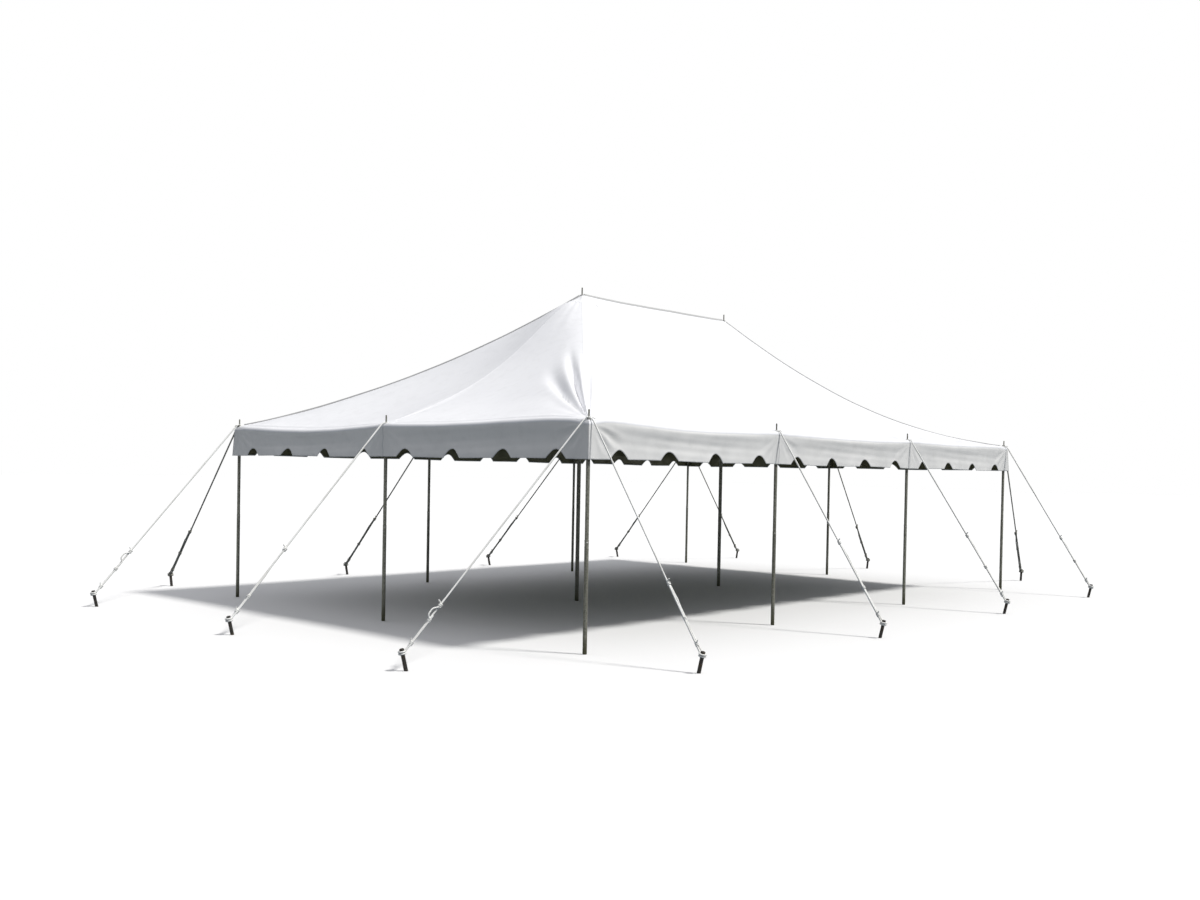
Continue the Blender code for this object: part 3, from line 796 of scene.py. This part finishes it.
class Tubes:
    """Collects swept tubes and turns them into one mesh."""

    def __init__(self):
        self.verts, self.faces = [], []

    def sweep(self, path, radius, sides=10, pitch=0.055, closed=False):
        """A three-strand rope along a path: its section has three lobes that turn as it goes."""
        path = np.asarray(path, float)
        count = len(path)
        if closed:
            tangent = units(np.roll(path, -1, axis=0) - np.roll(path, 1, axis=0))
        else:
            tangent = units(np.gradient(path, axis=0))
        normal = unit(np.cross(tangent[0], [0.3, 0.5, 0.81]))
        normals = np.zeros_like(path)
        for number in range(count):
            normal = unit(normal - tangent[number] * np.dot(normal, tangent[number]))
            normals[number] = normal
        beside = np.cross(tangent, normals)
        far = distances(path)
        twist = 2 * pi * far / pitch
        if closed:
            across = np.dot(np.cross(normals[-1], normals[0]), tangent[0])
            drift = atan2(float(across), float(np.dot(normals[-1], normals[0])))
            twist = np.linspace(0, 2 * pi * round(far[-1] / pitch) + drift, count, endpoint=False)
        around = circle(sides)
        lobes = 0.84 + 0.16 * np.cos(3 * (around[None, :] - twist[:, None]))
        reach = np.broadcast_to(radius, count)[:, None] * lobes
        turn, lift = np.cos(around)[None, :, None], np.sin(around)[None, :, None]
        ring = reach[:, :, None] * (turn * normals[:, None, :] + lift * beside[:, None, :])
        base = len(self.verts)
        self.verts += list((path[:, None, :] + ring).reshape(-1, 3))
        self.faces += ring_faces(count, sides, closed, base)
        if not closed:
            self.faces.append(tuple(reversed(range(base, base + sides))))
            self.faces.append(tuple(range(base + (count - 1) * sides, base + count * sides)))

    def made(self, name):
        obj = mesh_object(name, self.verts, self.faces)
        cleaned(obj, 1e-7)
        return obj


def ring_path(centre, axis, radius, steps, start):
    """Points round a circle, beginning on the side of start."""
    start = unit(start - axis * np.dot(start, axis))
    side = np.cross(axis, start)
    turns = circle(steps)
    return centre + radius * (np.cos(turns)[:, None] * start + np.sin(turns)[:, None] * side)


def wrapped(tubes, size, place, line, first, tail_turns, length):
    """A few tight turns of rope round a line, and the cut end that sticks out of them."""
    radius, pitch, turns, steps = size * 1.45, size * 1.4, 2.5, 18
    side = unit(np.cross(line, first))
    front = np.cross(side, line)
    count = int(turns * steps)
    angles = (2 * pi * np.arange(count + 1) / steps)[:, None]
    along = np.linspace(-0.5, 0.5, count + 1)[:, None] * turns * pitch
    path = list(place + along * line + radius * (np.cos(angles) * front + np.sin(angles) * side))
    here = path[-1] + unit(path[-1] - path[-2]) * 0.006
    for turn in tail_turns:
        here = here + unit(turn) * length / len(tail_turns)
        path.append(here)
    tubes.sweep(resampled(rounded(path, 0.012, 3), 0.0045), size * 0.68, sides=8, pitch=0.04)


def stake_frame(side, index):
    """A guy's pin and stake in plan, the way from one to the other, and the stake's axis."""
    places = []
    for shift, reach in ((0.0, 0.0), (STAKE_SHIFT[side][index], STAKE_REACH[side])):
        run = index * BAY - HALF[side] + shift
        x, y = hem_plan(side, np.array([run]), HEM_REACH - reach)
        places.append(CENTRE + np.array([x[0], y[0], 0.0]))
    pin, ground = places
    away = unit(ground - pin)
    return pin, ground, away, unit(away * sin(STAKE_LEAN) + UP * cos(STAKE_LEAN))


def make_rope(side, index, look):
    """A guy from the eye over its pin to the loop on its stake, with its second strand and knots."""
    pin, ground, away, axis = stake_frame(side, index)
    size = ROPE_RADIUS[side][index]
    level = 1 if side in ("left", "right") and index in (0, BAYS[side]) else 0
    eye = pin + UP * (EAVE_HEIGHT + EYE_LIFT + level * EYE_STACK)
    eye_radius = PIN_RADIUS + EYE_CLEARANCE + EYE_ROPE_RADIUS
    bend = eye + away * (HEM_REACH + 0.006) / max(float(away @ OUTWARD[side]), 0.5)
    bend[2] -= 0.015 + 0.011 * level
    loop = ground + axis * (STAKE_LENGTH - STAKE_EYE_DROP)
    loop_radius = STAKE_RADIUS + EYE_CLEARANCE + size
    toward = unit(away - axis * float(away @ axis))
    low = loop - toward * loop_radius
    line, span = unit(bend - low), np.linalg.norm(bend - low)
    beside = unit(np.cross(line, axis))
    bow = beside * STRAND_OFFSET
    above = unit(np.cross(line, beside))
    above = above if above[2] > 0 else -above
    hitch = low + line * span * HITCH_SHARE[side][index]
    knot = low + line * span * KNOT_SHARE[side][index]
    tubes = Tubes()
    tubes.sweep(ring_path(eye, UP, eye_radius, 22, away), EYE_ROPE_RADIUS, closed=True, pitch=0.03)
    for wrap in (0.0, 1.85):
        centre = loop - axis * wrap * size
        tubes.sweep(ring_path(centre, axis, loop_radius, 26, -toward), size, closed=True, pitch=0.03)
    main = resampled(rounded([eye + away * eye_radius, bend, low], 0.03), 0.0072)
    tubes.sweep(main, size * (0.72 + 0.28 * smooth(0.02, 0.10, distances(main))))
    turn = radians(50)
    rise = 0.042 if (side, index) in WIDE_BIGHTS else 0.006
    strand = [
        loop + (low - loop) * cos(turn) + beside * loop_radius * sin(turn),
        low + (knot - low) * 0.5 + bow,
        knot + bow,
        knot + (hitch - knot) * 0.4 + bow * 1.1,
        hitch - line * 0.150 + bow * 0.9 + above * 0.008,
        hitch - line * 0.125 + bow * 0.7 + above * rise,
        hitch - line * 0.06 + bow * 0.6 + above * rise,
        hitch - line * 0.015 + bow * 0.8,
    ]
    tubes.sweep(resampled(rounded(strand, 0.02), 0.0068), size * 0.86)
    for place, tail, length in (
        (hitch + bow * 0.3, [above * 0.5 + line * 0.35, above * 0.5 + line * 0.1], 0.036),
        (knot + bow * 0.5, [beside * 0.4 - UP * 0.3, beside * 0.1 - UP * 0.7], 0.03),
        (low + line * 0.078 + bow * 0.5, [above * 0.6 + beside * 0.3, above * 0.3 + line * 0.5], 0.036),
    ):
        wrapped(tubes, size, place, line, beside, tail, length)
    tail = eye + away * (eye_radius + 0.012)
    bits = [tail, tail + beside * 0.014 + UP * 0.002, tail + beside * 0.028 + away * 0.012]
    bits.append(tail + beside * 0.036 - UP * 0.010 + away * 0.022)
    tubes.sweep(resampled(rounded(bits, 0.02), 0.005), EYE_ROPE_RADIUS, sides=8)
    rope = tubes.made(f"rope_{side}_{index + 1}")
    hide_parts(f"guy_rope_{side}_{index + 1}")
    return dress(rope, "rope", look, angle=70)


# Stakes and poles.


def make_stake(side, index, look):
    """A round bar with a hammered head, leaning away from the tent, cut off at the ground."""
    _, ground, away, axis = stake_frame(side, index)
    crown = ((0, 0), (0.48, 0.0002), (0.74, 0.0012), (0.92, 0.003), (1, 0.0057), (1, 0.009), (0.95, 0.0115))
    shank = ((1.1, 0.0135), (1, 0.0155), (0.99, 0.025), (1, 0.065), (0.99, 0.105), (1, 0.145))
    profile = [(STAKE_HEAD_RADIUS * wide, STAKE_LENGTH - down) for wide, down in crown]
    profile += [(STAKE_RADIUS * wide, STAKE_LENGTH - down) for wide, down in shank]
    profile += [(STAKE_RADIUS, 0.02), (STAKE_RADIUS, -0.02)]
    bar = turned(f"stake_bar_{side}_{index + 1}", profile, (0, 0), steps=28)
    seed = 1.7 * index + 2.9 * SIDES.index(side)
    for vertex in bar.data.vertices:
        angle = atan2(vertex.co.y, vertex.co.x)
        if vertex.co.z > STAKE_LENGTH - 0.015:
            dent = min(1 + 0.05 * sin(3 * angle + seed) + 0.03 * sin(7 * angle + 2 * seed), 1.0)
            vertex.co.x *= dent
            vertex.co.y *= dent
            reach = (vertex.co.x**2 + vertex.co.y**2) ** 0.5 / STAKE_HEAD_RADIUS
            vertex.co.z += 0.0006 * sin(5 * angle + seed) * reach
    tilt = Matrix.Rotation(STAKE_LEAN, 4, Vector(np.cross(UP, away)))
    bar.data.transform(Matrix.Translation(Vector(ground)) @ tilt)
    for vertex in bar.data.vertices:
        if vertex.co.z < 0:
            vertex.co -= Vector(axis) * (vertex.co.z / axis[2])
    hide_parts(f"stake_{side}_{index + 1}")
    return dress(bar, "stake_steel", look, angle=40)


def shoulder_height(x, y, radius, height):
    """The highest flat shoulder of this radius that stays under the canopy."""
    angles = circle(24)
    edge = roof_height(x + radius * np.cos(angles), y + radius * np.sin(angles))
    return min(height, float(edge.min())) - VINYL - 0.0015


def pin_profile(top, bottom):
    """A round-nosed pin, from its tip down."""
    nose = ((0.0, 0.0), (0.38, 0.0006), (0.69, 0.0022), (0.9, 0.0048), (1.0, 0.009))
    return [(PIN_RADIUS * wide, top - down) for wide, down in nose] + [(PIN_RADIUS, bottom)]


def tube_profile(radius, joint, shoulder):
    """A pole in two lengths: the upper tube is swaged to fit into the lower one's socket."""
    slim = radius - 0.0014
    crown = ((0.0045, 0), (0.0010, 0.0012), (0, 0.0040), (0, 0.030), (0.0008, 0.0315), (0.0008, 0.0335))
    swage = ((0.0012, 0.004), (0.0012, 0.0005))
    socket = ((0.0004, 0), (0, 0.002), (0, 0.045), (0.0007, 0.048), (0.0007, 0.052), (0, 0.055))
    profile = [(slim - inset, shoulder - down) for inset, down in crown]
    profile += [(slim, shoulder - 0.035), (slim, joint + 0.012)]
    profile += [(slim - inset, joint + up) for inset, up in swage]
    profile += [(radius - inset, joint - down) for inset, down in socket]
    return profile + [(radius, 0.030), (radius, 0.0035), (radius - 0.0030, 0.0), (0, 0.0)]


def make_button(name, place, radius, height, look):
    """The sprung button that locks the two lengths together."""
    facing = radians(-128)
    out = Vector((cos(facing), sin(facing), 0))
    profile = [(0, 0.0042), (0.0022, 0.0038), (0.0038, 0.0026), (0.0045, 0.0008)]
    profile += [(0.0060, 0.0), (0.0060, -0.002)]
    button = turned(name, profile, (0, 0), steps=18)
    turn = out.to_track_quat("Z", "Y").to_matrix().to_4x4()
    middle = Vector((place[0], place[1], height)) + out * (radius - 0.0003)
    button.data.transform(Matrix.Translation(middle) @ turn)
    return dress(button, "side_pole_steel", look, angle=50)


def make_pole(name, place, radius, joint, profile, slot, look, pin_look):
    """A pole with its pin in one piece, and the button at its joint."""
    pole = turned(f"{name}_tube", profile, place)
    cleaned(pole, 1e-7)
    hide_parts(name)
    make_button(f"{name}_button", place, radius, joint - BUTTON_DROP, pin_look)
    return dress(pole, slot, look, angle=35)


def make_side_pole(name, x, y, *looks):
    radius, joint = SIDE_POLE_RADIUS, SIDE_JOINT
    shoulder = shoulder_height(x, y, radius - 0.003, EAVE_HEIGHT)
    profile = pin_profile(EAVE_HEIGHT + PIN_ABOVE_ROOF, shoulder) + tube_profile(radius, joint, shoulder)
    return make_pole(name, CENTRE + (x, y, 0), radius, joint, profile, "side_pole_steel", *looks)


def make_centre_pole(name, x, *looks):
    radius, joint = CENTRE_POLE_RADIUS, CENTRE_JOINT
    collar = shoulder_height(x, 0.0, HOLE, PEAK_HEIGHT) - 0.006
    profile = pin_profile(PEAK_HEIGHT + PIN_ABOVE_ROOF, collar) + [(0.0105, collar - 0.001)]
    profile += tube_profile(radius, joint, collar - 0.028)[1:]
    return make_pole(name, CENTRE + (x, 0, 0), radius, joint, profile, "centre_pole_steel", *looks)


# Materials.


def fill(node, inputs):
    """Sets a node's inputs: another node's output is linked, and anything else is a value."""
    for socket, value in inputs.items():
        if isinstance(value, bpy.types.NodeSocket):
            node.id_data.links.new(value, node.inputs[socket])
        else:
            node.inputs[socket].default_value = value
    return node


def new_node(tree, kind, inputs, **settings):
    node = tree.nodes.new("ShaderNode" + kind)
    for setting, value in settings.items():
        setattr(node, setting, value)
    return fill(node, inputs)


def color_ramp(tree, source, colors, places):
    node = new_node(tree, "ValToRGB", {"Fac": source})
    for element, color, place in zip(node.color_ramp.elements, colors, places):
        element.position = place
        element.color = (*color, 1)
    return node.outputs["Color"]


class Nodes:
    """Short calls for building a material's node tree."""

    def __init__(self, name):
        self.look = bpy.data.materials.new(name)
        self.look.use_nodes = True
        self.tree = self.look.node_tree
        self.place = self.add("TexCoord", {}).outputs["Object"]

    def add(self, kind, inputs, **settings):
        return new_node(self.tree, kind, inputs, **settings)

    def noise(self, scale, detail=3.0, distortion=0.0, stretch=None):
        place = self.place
        if stretch:
            place = self.add("Mapping", {"Scale": stretch, "Vector": place}).outputs["Vector"]
        inputs = {"Scale": scale, "Detail": detail, "Distortion": distortion, "Vector": place}
        return self.add("TexNoise", inputs).outputs["Fac"]

    def wave(self, direction, scale):
        inputs = {"Scale": scale, "Vector": self.place}
        return self.add("TexWave", inputs, bands_direction=direction).outputs["Fac"]

    def ramp(self, source, low, high, low_at=0.3, high_at=0.7):
        return color_ramp(self.tree, source, (low, high), (low_at, high_at))

    def ranged(self, source, low, high, from_low=0.3, from_high=0.7):
        inputs = {"Value": source, "From Min": from_low, "From Max": from_high}
        inputs.update({"To Min": low, "To Max": high})
        return self.add("MapRange", inputs).outputs["Result"]

    def mixed(self, factor, first, second, kind="MIX"):
        inputs = {0: factor, 6: first, 7: second}
        return self.add("Mix", inputs, data_type="RGBA", blend_type=kind).outputs[2]

    def sum_of(self, first, second, weight=1.0):
        inputs = {0: second, 1: weight, 2: first}
        return self.add("Math", inputs, operation="MULTIPLY_ADD").outputs[0]

    def bump(self, height, distance, strength=1.0, below=None):
        inputs = {"Strength": strength, "Distance": distance, "Height": height}
        if below is not None:
            inputs["Normal"] = below
        return self.add("Bump", inputs).outputs["Normal"]

    def finish(self, color, roughness, inputs):
        fill(self.tree.nodes["Principled BSDF"], {"Base Color": color, "Roughness": roughness, **inputs})
        return self.look


def vinyl_look(name, light, dark, roughness):
    """Coated fabric: fine scrim, broad cloudiness, faint marks and soft creases."""
    n = Nodes(name)
    clouds = n.ramp(n.noise(0.55, 2.0), dark, light, 0.35, 0.62)
    marks = n.ramp(n.noise(9.0, 6.0, 0.6), (0.80, 0.80, 0.79), (1, 1, 1), 0.28, 0.52)
    color = n.mixed(0.22, clouds, marks, "MULTIPLY")
    rough = n.ranged(n.noise(6.0, 4.0), roughness - 0.07, roughness + 0.09)
    scrim = n.sum_of(n.wave("X", 130.0), n.wave("Y", 130.0))
    scrim = n.sum_of(scrim, n.wave("Z", 130.0))
    woven = n.bump(scrim, 0.00002, 0.5)
    creased = n.bump(n.noise(3.2, 4.0, 1.4), 0.0022, 0.4, woven)
    return n.finish(color, rough, {"Normal": creased, "Specular IOR Level": 0.42})


def steel_look(name, light, dark, metallic, roughness):
    """Galvanised tube: mottled zinc, rubbed bright in places, its foot olive with mud and painted green
    reflection.
    """
    n = Nodes(name)
    spangle = n.add("TexVoronoi", {"Scale": 90.0, "Vector": n.place})
    grains = n.ramp(spangle.outputs["Color"], dark, light, 0.2, 0.8)
    worn = n.noise(3.0, 6.0, 0.8, (1, 1, 0.25))
    color = n.mixed(n.ranged(worn, 0.0, 0.55, 0.42, 0.66), grains, (0.062, 0.058, 0.046, 1))
    height = n.add("SeparateXYZ", {0: n.place}).outputs["Z"]
    ragged = n.sum_of(height, n.noise(30.0, 4.0), -0.18)
    # Dark olive towards the foot: partly mud, partly a painted reflection of green ground.
    color = n.mixed(n.ranged(ragged, 1.0, 0.0, -0.06, 0.16), color, (0.060, 0.060, 0.030, 1))
    rough = n.ranged(n.noise(14.0, 5.0), roughness - 0.10, roughness + 0.16)
    brushed = n.bump(n.noise(60.0, 3.0, 0.0, (1, 1, 0.12)), 0.0004, 0.5)
    return n.finish(color, rough, {"Normal": brushed, "Metallic": metallic, "Specular IOR Level": 0.5})


def metal_look(name, color_light, color_dark, roughness):
    """Bare bright metal of the pins, buttons and grommets."""
    n = Nodes(name)
    color = n.ramp(n.noise(220.0, 4.0), color_dark, color_light)
    rough = n.ranged(n.noise(90.0, 3.0), roughness - 0.08, roughness + 0.12)
    return n.finish(color, rough, {"Normal": n.bump(n.noise(400.0, 3.0), 0.0002, 0.4), "Metallic": 0.15})


def rope_look(name, light, dark):
    """Spun fibre, greyer where dirt sits between the strands."""
    n = Nodes(name)
    dirt = n.ramp(n.noise(5.0, 5.0, 0.4), dark, light, 0.30, 0.60)
    fuzz = n.ramp(n.noise(700.0, 3.0), (0.88, 0.88, 0.86), (1, 1, 1), 0.3, 0.65)
    color = n.mixed(1.0, dirt, fuzz, "MULTIPLY")
    rough = n.ranged(n.noise(50.0, 3.0), 0.72, 0.95)
    fibres = n.bump(n.noise(900.0, 4.0, 0.5), 0.0006, 0.7)
    return n.finish(color, rough, {"Normal": fibres, "Sheen Weight": 0.35})


def stake_look():
    """Forged bar: dark scale with rust in patches."""
    n = Nodes("stake_iron")
    scale = n.ramp(n.noise(120.0, 5.0), (0.018, 0.017, 0.016), (0.060, 0.056, 0.050))
    rust = n.ramp(n.noise(260.0, 4.0), (0.045, 0.033, 0.020), (0.085, 0.065, 0.038))
    color = n.mixed(n.ranged(n.noise(32.0, 6.0, 0.8), 0.0, 0.75, 0.48, 0.62), scale, rust)
    rough = n.ranged(n.noise(80.0, 4.0), 0.45, 0.85)
    pitted = n.bump(n.noise(420.0, 5.0), 0.0008, 0.8)
    return n.finish(color, rough, {"Normal": pitted, "Metallic": 0.5})


def floor_look():
    n = Nodes("floor_paper")
    color = n.ramp(n.noise(0.3, 2.0), (0.79, 0.79, 0.79), (0.81, 0.81, 0.81), 0.0, 1.0)
    return n.finish(color, n.ranged(n.noise(2.0), 0.9, 1.0, 0.0, 1.0), {})


# Stage.


def make_camera():
    flat = cos(CAMERA_PITCH)
    forward = Vector((cos(CAMERA_YAW) * flat, sin(CAMERA_YAW) * flat, sin(CAMERA_PITCH)))
    level = Vector((sin(CAMERA_YAW), -cos(CAMERA_YAW), 0))
    above = level.cross(forward)
    right = level * cos(CAMERA_ROLL) + above * sin(CAMERA_ROLL)
    up = above * cos(CAMERA_ROLL) - level * sin(CAMERA_ROLL)
    data = bpy.data.cameras.new("camera")
    data.sensor_width = 36.0
    data.lens = CAMERA_LENS
    data.shift_x, data.shift_y = CAMERA_SHIFT
    data.clip_end = 300
    camera = bpy.data.objects.new("camera", data)
    bpy.context.scene.collection.objects.link(camera)
    turn = Matrix((right, up, -forward)).transposed().to_4x4()
    camera.matrix_world = Matrix.Translation(CAMERA_PLACE) @ turn
    bpy.context.scene.camera = camera


def make_floor():
    size, low = 120.0, -0.0005
    verts = [(-size, -size, low), (size, -size, low), (size, size, low), (-size, size, low)]
    floor = mesh_object("floor", verts, [(0, 1, 2, 3)])
    floor.data.materials.append(floor_look())
    floor.visible_diffuse = False


def make_sun():
    """A large soft key from the front right and above."""
    data = bpy.data.lights.new("key", "SUN")
    data.energy = SUN_STRENGTH
    data.angle = radians(8)
    data.color = (1.0, 0.985, 0.955)
    key = bpy.data.objects.new("key", data)
    bpy.context.scene.collection.objects.link(key)
    key.rotation_euler = Vector(SUN_FROM).to_track_quat("Z", "Y").to_euler()


def make_surround():
    """A dim surround that is brighter overhead, with plain white behind the tent."""
    world = bpy.data.worlds.new("surround")
    bpy.context.scene.world = world
    world.use_nodes = True
    tree = world.node_tree
    place = new_node(tree, "TexCoord", {}).outputs["Generated"]
    height = new_node(tree, "SeparateXYZ", {0: place}).outputs["Z"]
    sky = color_ramp(tree, height, (SURROUND_LOW, SURROUND_HIGH), (0.0, 0.70))
    background = fill(tree.nodes["Background"], {"Color": sky})
    seen = new_node(tree, "Background", {"Color": (1.0, 1.0, 1.0, 1)})
    path = new_node(tree, "LightPath", {})
    inputs = {"Fac": path.outputs["Is Camera Ray"], 1: background.outputs[0], 2: seen.outputs[0]}
    mix = new_node(tree, "MixShader", inputs)
    fill(tree.nodes["World Output"], {"Surface": mix.outputs[0]})
    bpy.context.scene.view_settings.view_transform = "Standard"


# The whole tent.


def pole_names():
    """CAD names of the side poles in the order of pole_pins."""
    places = (("corner", "left"), ("side", "left"), ("side", "right"), ("corner", "right"))
    names = [f"{kind}_pole_{side}_{end}" for side in ("front", "back") for kind, end in places]
    return names + ["end_pole_left", "end_pole_right"]


def make_roof(vinyl):
    """The canopy with its seams, patches and grommets, and the poles under it."""
    zinc = steel_look("pole_zinc", (0.30, 0.30, 0.25), (0.17, 0.17, 0.135), 0.35, 0.5)
    bright = metal_look("pin_steel", (0.74, 0.74, 0.72), (0.60, 0.60, 0.58), 0.38)
    brass = metal_look("grommet_zinc", (0.70, 0.69, 0.66), (0.48, 0.47, 0.44), 0.35)
    canopy, area = make_canopy(vinyl["white"], vinyl["inside_painted_shade"])
    trims = make_roof_seams(vinyl["tape"], vinyl["piping"])
    patch = vinyl["patch"]
    for number, (name, (x, y, _)) in enumerate(zip(pole_names(), pole_pins()), start=1):
        radius = PIN_PATCH[fold_kind(x, y)]
        trims.append(patch_on_roof(f"pin_patch_{number}", x, y, radius, 0.030, 0.0010, patch))
        trims.append(make_grommet(f"pin_grommet_{number}", x, y, GROMMET_RADIUS, brass))
        make_side_pole(name, x, y, zinc, bright)
    for end, x in (("left", -PEAK_RUN), ("right", PEAK_RUN)):
        trims.append(patch_on_roof(f"peak_patch_{end}", x, 0.0, PEAK_PATCH, HEM_REACH, 0.0014, patch))
        trims.append(make_grommet(f"peak_ring_{end}", x, 0.0, PEAK_RING_RADIUS, brass))
        make_centre_pole(f"centre_pole_{end}", x, zinc, bright)
    return canopy, area, trims


def make_side(side, vinyl, fibre, iron):
    """A side's valance with its tapes, and its ropes and stakes."""
    sheet, area = make_valance(side, vinyl["skirt"], vinyl["inside_painted_shade"])
    pieces = [make_binding(side, vinyl["binding"])]
    pieces += [make_valance_tape(side, number, vinyl["joint"]) for number in range(1, BAYS[side])]
    for index in range(BAYS[side] + 1):
        make_rope(side, index, fibre)
        make_stake(side, index, iron)


def main():
    make_camera()
    make_floor()
    make_sun()
    make_surround()
    vinyl = {name: vinyl_look(f"vinyl_{name}", *tones) for name, tones in VINYLS.items()}
    canopy, area, trims = make_roof(vinyl)
    fibre = rope_look("rope_fibre", (0.96, 0.96, 0.94), (0.80, 0.79, 0.76))
    # A darker copy of the same rope for the back and right guys: partly older fibre, partly painted shade
    # of ropes seen from their shadow side.
    shaded_worn_fibre = rope_look("rope_fibre_shaded_worn", (0.42, 0.41, 0.36), (0.24, 0.23, 0.19))
    iron = stake_look()
    for side in SIDES:
        make_side(side, vinyl, fibre if side in ("front", "left") else shaded_worn_fibre, iron)


main()
